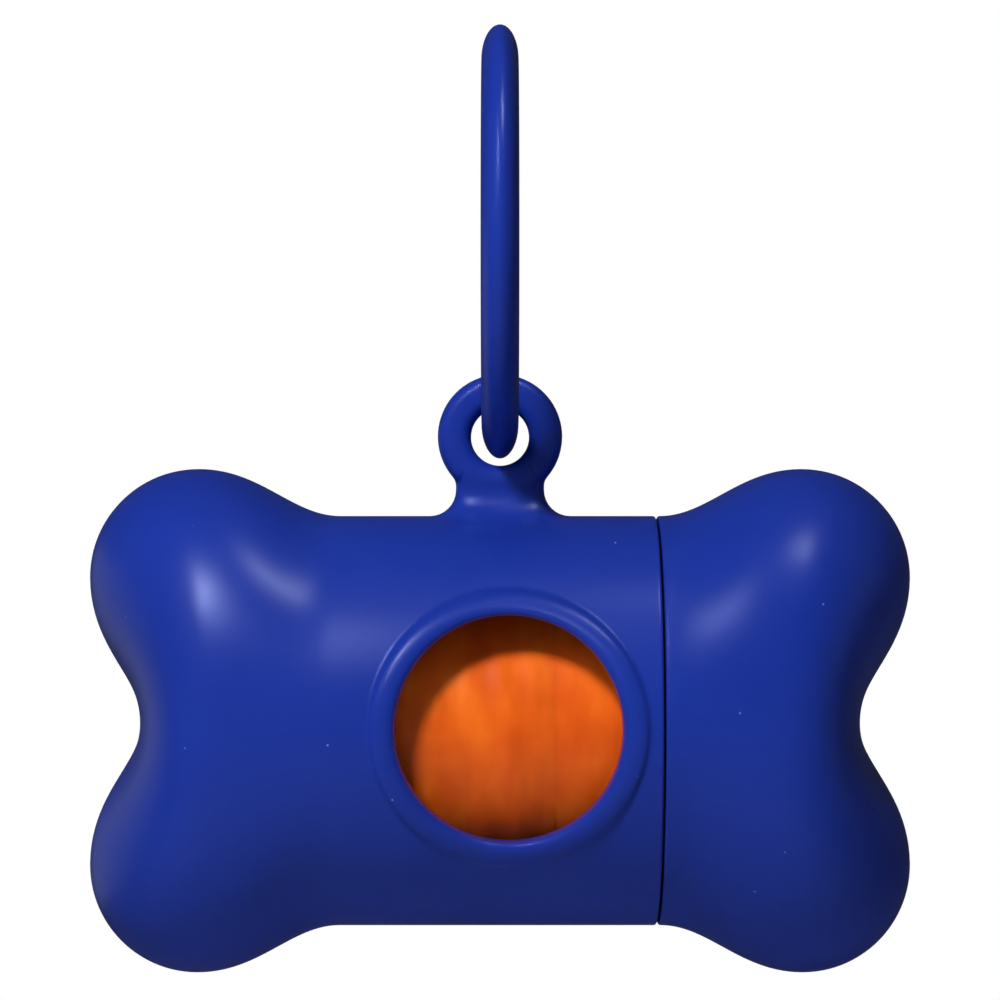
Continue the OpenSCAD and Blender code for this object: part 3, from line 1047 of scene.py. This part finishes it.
@dataclass
class FilmRoll:
    """Wound film with its outermost bag, whose fold runs round the roll."""

    film_r: float = 15.2
    core_r: float = 5.65
    half_len: float = 28.0
    step: float = 0.25
    columns: int = 240
    end_steps: int = 96
    side_steps: int = 40
    # The ends lie back by this much, so that their ridges stay inside the solid
    end_room: float = 0.25
    # Film is far thinner; its turns are drawn 0.6 mm thick so that they show
    turn_mm: float = 0.6
    turn_ridge: float = 0.1
    # Slack winding adds a wave of three lobes, twisted by this many radians per millimetre
    slack_ridge: float = 0.12
    slack_lobes: int = 3
    slack_twist: float = 0.9
    # How fast the ridges rise from the end's inner and outer edge
    ridge_pace: float = 12.0
    bag_in_r: float = 15.25
    bag_t: float = 0.2
    # Share of the solid sheet's thickness that the film takes, and room for its waves over it
    bag_fill: float = 0.7
    bag_room: float = 0.06
    bag_inset: float = 0.3
    # At the fold the sheet is one layer thick, and its outside lies this far over the wound film
    layer_t: float = 0.02
    layer_lift: float = 0.035
    fold_x: float = 5.3
    fold_ramp: float = 5.0
    bag_wrap: float = 300.0
    bag_start: float = 200.0
    bag_steps: tuple[int, int] = (90, 200)
    # Two slack waves: height, radians per millimetre along the roll, and then how far the
    # wrinkle swings to and fro round the roll, and how many lobes the ripple has
    wrinkle: tuple[float, float, float] = (0.05, 1.9, 2.2)
    ripple: tuple[float, float, float] = (0.04, 0.7, 5.0)

    def winding(self) -> bpy.types.Object:
        """Makes the wound film, whose outside steps down once and whose ends are finely ridged."""
        angle = np.radians(np.arange(self.columns) * 360 / self.columns)
        outer = self.film_r - self.step * np.arange(self.columns) / self.columns
        share = np.linspace(0, 1, self.end_steps + 1)[:, None]
        radius = self.core_r + (outer - self.core_r) * share
        turns = radius / self.turn_mm - angle / (2 * np.pi)
        slack = np.sin(self.slack_lobes * angle + radius * self.slack_twist)
        ridge = self.turn_ridge * np.sin(2 * np.pi * turns) + self.slack_ridge * slack
        half = self.half_len - self.end_room
        end = half + ridge * np.minimum(1, self.ridge_pace * share * (1 - share))
        along = np.linspace(-1, 1, self.side_steps + 1)[1:-1, None] * half
        left, side, right, bore = (
            turned(x, r, angle) * [1, -1, 1]
            for x, r in ((-end, radius), (along, outer), (end, radius), (-along, self.core_r))
        )
        shell = Shell()
        shell.add(np.concatenate([left, side, right[::-1], bore, left[:1]]))
        return shell.build("wound_film", ROLL_Z, sharp=60.0)

    def outer_bag(self) -> bpy.types.Object:
        """Makes the outermost bag: a sheet round the roll whose slack waves fade at its fold."""
        along, around = self.bag_steps
        first = math.radians(self.bag_start)
        angle = first + np.radians(np.linspace(0, self.bag_wrap, around + 1))[None, :]
        x = np.linspace(-self.half_len + self.bag_inset, self.fold_x, along + 1)[:, None]
        height, pace, bend = self.wrinkle
        wave = height * np.sin(x * pace + bend * np.sin(angle * 2))
        height, pace, lobes = self.ripple
        wave = wave + height * np.sin(x * pace - angle * lobes)
        # Towards its fold the sheet lies down onto the spiral of the film and gets one layer thick
        near = np.clip((self.fold_x - x) / self.fold_ramp, 0, 1)
        lift = near**2 * (3 - 2 * near)
        turn = np.mod(angle + np.pi, 2 * np.pi) / (2 * np.pi)
        seat = self.film_r - self.step * turn + self.layer_lift
        outer = seat + (self.bag_in_r + self.bag_t + wave - self.bag_room - seat) * lift
        inner = outer - self.layer_t - (self.bag_t * self.bag_fill - self.layer_t) * lift
        # Turned the same way as the CAD sheet, which starts at this angle from -Z
        top, under = (turned(x, radius, angle) * [1, 1, -1] for radius in (outer, inner))
        loop = np.concatenate([top, under[::-1]])
        shell = Shell()
        shell.add(np.concatenate([loop, loop[:1]]), wrap=False)
        for column in (0, -1):
            shell.add(np.stack([top[:, column], under[:, column]], axis=0), wrap=False)
        return shell.build("outer_bag", ROLL_Z, sharp=50.0)


# ---------------------------------------------------------------- studio


@dataclass(frozen=True)
class Lamp:
    """Area lamp: its place is measured from the bone's middle, and its power is in watts.

    A mirrored lamp is seen in the gloss alone. The others give the even light and aren't mirrored.
    A lamp points at the bone's axis, aim_mm to the right of the middle, and spread_deg is the angle
    that its grid lets through.
    """

    name: str
    place_mm: tuple[float, float, float]
    size_mm: tuple[float, float]
    power: float
    mirrored: bool
    aim_mm: float = 0.0
    spread_deg: float = 180.0


@dataclass
class Studio:
    """Camera at the photograph's place, a pale sweep, and soft lamps."""

    # The photograph shows 0.1 mm a pixel at the bone's axis, 355 mm from the lens
    distance_mm: float = 355.0
    frame_mm: float = 100.0
    lens_above_axis_mm: float = 18.0
    frame_above_axis_mm: float = 22.0
    sensor_mm: float = 36.0
    near_clip_m: float = 0.01
    # Floor and wall of the sweep: how far each reaches, and the bend between them
    floor_below_mm: float = 70.0
    sweep_front_mm: float = 900.0
    sweep_back_mm: float = 300.0
    sweep_bend_mm: float = 300.0
    sweep_top_mm: float = 1200.0
    sweep_half_w_mm: float = 1500.0
    sweep_steps: int = 16
    sky: str = "#f4f6ff"
    wall_light: float = 0.2
    ceiling_light: float = 0.08
    # Height of the ceiling's light in the world, as the sine of its angle over the horizon
    ceiling_from: float = 0.7
    glossy_white: float = 0.02
    # In glossy rays alone the paper takes a dark grey, which paints a darker reflection of the
    # backdrop along the object's outline
    paper: str = "#e8e8e8"
    paper_darkened_in_gloss: str = "#404040"
    # Two strips and a card give the gloss, two softboxes and a card near the floor the even light
    lamps: tuple[Lamp, ...] = (
        Lamp(
            "key_strip", (-84.0, -201.0, 214.0), (16.0, 90.0), 0.031,
            mirrored=True, aim_mm=-40.0, spread_deg=40.0,
        ),
        Lamp(
            "side_strip", (80.0, -88.0, 262.0), (12.0, 44.0), 0.021,
            mirrored=True, aim_mm=-30.0, spread_deg=60.0,
        ),
        Lamp("left_card", (-250.0, 170.0, -60.0), (220.0, 260.0), 0.05, mirrored=True),
        Lamp("main_softbox", (-135.0, -335.0, 330.0), (80.0, 80.0), 2.5, mirrored=False),
        Lamp("left_softbox", (-360.0, -340.0, 290.0), (220.0, 220.0), 0.55, mirrored=False),
        Lamp("floor_card", (-40.0, -300.0, -260.0), (300.0, 180.0), 0.8, mirrored=False),
    )

    def camera(self) -> None:
        """Makes the camera and sets it as the scene's."""
        data = bpy.data.cameras.new("front_camera")
        data.sensor_width = self.sensor_mm
        data.lens = self.sensor_mm * self.distance_mm / self.frame_mm
        data.shift_y = (self.frame_above_axis_mm - self.lens_above_axis_mm) / self.frame_mm
        data.clip_start = self.near_clip_m
        item = bpy.data.objects.new("front_camera", data)
        item.location = (0.0, -self.distance_mm * MM, BONE_Z + self.lens_above_axis_mm * MM)
        item.rotation_euler = (math.radians(90), 0.0, 0.0)
        bpy.context.scene.collection.objects.link(item)
        bpy.context.scene.camera = item

    def shown_white(self, tree: Nodes) -> bpy.types.NodeSocket:
        """White in the backdrop: all of it for camera and transmission rays, a part for glossy."""
        path = tree.add("ShaderNodeLightPath").outputs
        pair = {0: path["Is Glossy Ray"], 1: self.glossy_white}
        white = tree.add("ShaderNodeMath", pair, operation="MULTIPLY").outputs["Value"]
        for ray in ("Is Camera Ray", "Is Transmission Ray"):
            pair = {0: white, 1: path[ray]}
            white = tree.add("ShaderNodeMath", pair, operation="MAXIMUM").outputs["Value"]
        return white

    def world(self) -> None:
        """Makes the world: light from pale walls under a darker ceiling, which is seen as white."""
        world = bpy.data.worlds.new("studio_world")
        tree = Nodes(world)
        direction = tree.add("ShaderNodeTexCoord").outputs["Generated"]
        height = tree.add("ShaderNodeSeparateXYZ", {"Vector": direction}).outputs["Z"]
        light = {"To Min": self.wall_light, "To Max": self.ceiling_light}
        light.update({"Value": height, "From Max": self.ceiling_from})
        fall = tree.add("ShaderNodeMapRange", light)
        glow = {"Color": linear(self.sky), "Strength": fall.outputs["Result"]}
        soft = tree.add("ShaderNodeBackground", glow).outputs["Background"]
        white = tree.add("ShaderNodeBackground", {"Color": linear("#ffffff"), "Strength": 1.0})
        pair = {"Fac": self.shown_white(tree), 1: soft, 2: white.outputs["Background"]}
        mix = tree.add("ShaderNodeMixShader", pair)
        tree.add("ShaderNodeOutputWorld", {"Surface": mix.outputs["Shader"]})
        bpy.context.scene.world = world

    def sweep(self) -> None:
        """Makes the floor, which curves up behind the object."""
        floor_z = CAD_BOX[0].z / MM - self.floor_below_mm
        back, bend = self.sweep_back_mm, self.sweep_bend_mm
        profile = np.concatenate(
            [
                np.array([[-self.sweep_front_mm, 0.0], [back, 0.0]]),
                arc(bend, -90, 0, self.sweep_steps)[1:] + [back, bend],
                np.array([[back + bend, self.sweep_top_mm]]),
            ]
        )
        x = np.array([-self.sweep_half_w_mm, self.sweep_half_w_mm])[:, None]
        grid = np.stack(np.broadcast_arrays(x, profile[:, 0], profile[:, 1] + floor_z), axis=-1)
        shell = Shell()
        shell.add(grid, wrap=False)
        item = shell.build("studio_sweep", 0.0)
        material, tree = new_material("matt_white_paper")
        glossy = tree.add("ShaderNodeLightPath").outputs["Is Glossy Ray"]
        # Seen in the gloss the paper turns dark grey: a painted darker reflection of the backdrop
        colour = tree.ramp(glossy, (0.0, 1.0), self.paper, self.paper_darkened_in_gloss)
        paper = tree.add("ShaderNodeBsdfDiffuse", {"Color": colour}).outputs["BSDF"]
        white = tree.add("ShaderNodeEmission", {"Strength": 1.0}).outputs["Emission"]
        mix = tree.add("ShaderNodeMixShader", {"Fac": self.shown_white(tree), 1: paper, 2: white})
        tree.add("ShaderNodeOutputMaterial", {"Surface": mix.outputs["Shader"]})
        dress(item, material)

    def hang(self, lamp: Lamp) -> None:
        """Adds an area lamp that points at its place on the bone's axis."""
        data = bpy.data.lights.new(lamp.name, "AREA")
        data.shape = "RECTANGLE"
        data.size, data.size_y = lamp.size_mm[0] * MM, lamp.size_mm[1] * MM
        data.energy = lamp.power
        data.spread = math.radians(lamp.spread_deg)
        item = bpy.data.objects.new(lamp.name, data)
        item.location = Vector(lamp.place_mm) * MM + Vector((0.0, 0.0, BONE_Z))
        aim = Vector((lamp.aim_mm * MM, 0.0, BONE_Z)) - item.location
        item.rotation_euler = aim.to_track_quat("-Z", "Y").to_euler()
        item.visible_glossy, item.visible_diffuse = lamp.mirrored, not lamp.mirrored
        bpy.context.scene.collection.objects.link(item)

    def build(self) -> None:
        """Makes the whole studio."""
        bpy.context.scene.view_settings.view_transform = "Standard"
        self.camera()
        self.world()
        self.sweep()
        for lamp in self.lamps:
            self.hang(lamp)


# ---------------------------------------------------------------- assembly


def main() -> None:
    """Builds the studio and every piece."""
    logging.basicConfig(level=logging.INFO, format="%(name)s: %(message)s")
    Studio().build()
    finishes = Finishes()
    roll = FilmRoll()
    plan = (
        (HangRing().build(), finishes.rubber, Body.RING, Slot.SOFT, "hang_ring"),
        (BoneBody().build(), finishes.rubber, Body.BONE, Slot.SOFT, "body_shell"),
        (RollTube().build(), finishes.tube, Body.BONE, Slot.TUBE, "roll_tube"),
        (BoneCap().build(), finishes.rubber, Body.CAP, Slot.SOFT, "cap_shell"),
        (roll.winding(), finishes.film, Body.ROLL, Slot.FILM, "bag_roll"),
        (roll.outer_bag(), finishes.film, Body.ROLL, Slot.FILM, "first_bag"),
    )
    for item, material, body, slot, node in plan:
        dress(item, material)
        place_piece(item, body, slot, node)
        LOG.info("%s rides on %s in place of %s", item.name, body.value, node)
    dress(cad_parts["roll_core"], finishes.card)


if __name__ == "__main__":
    main()
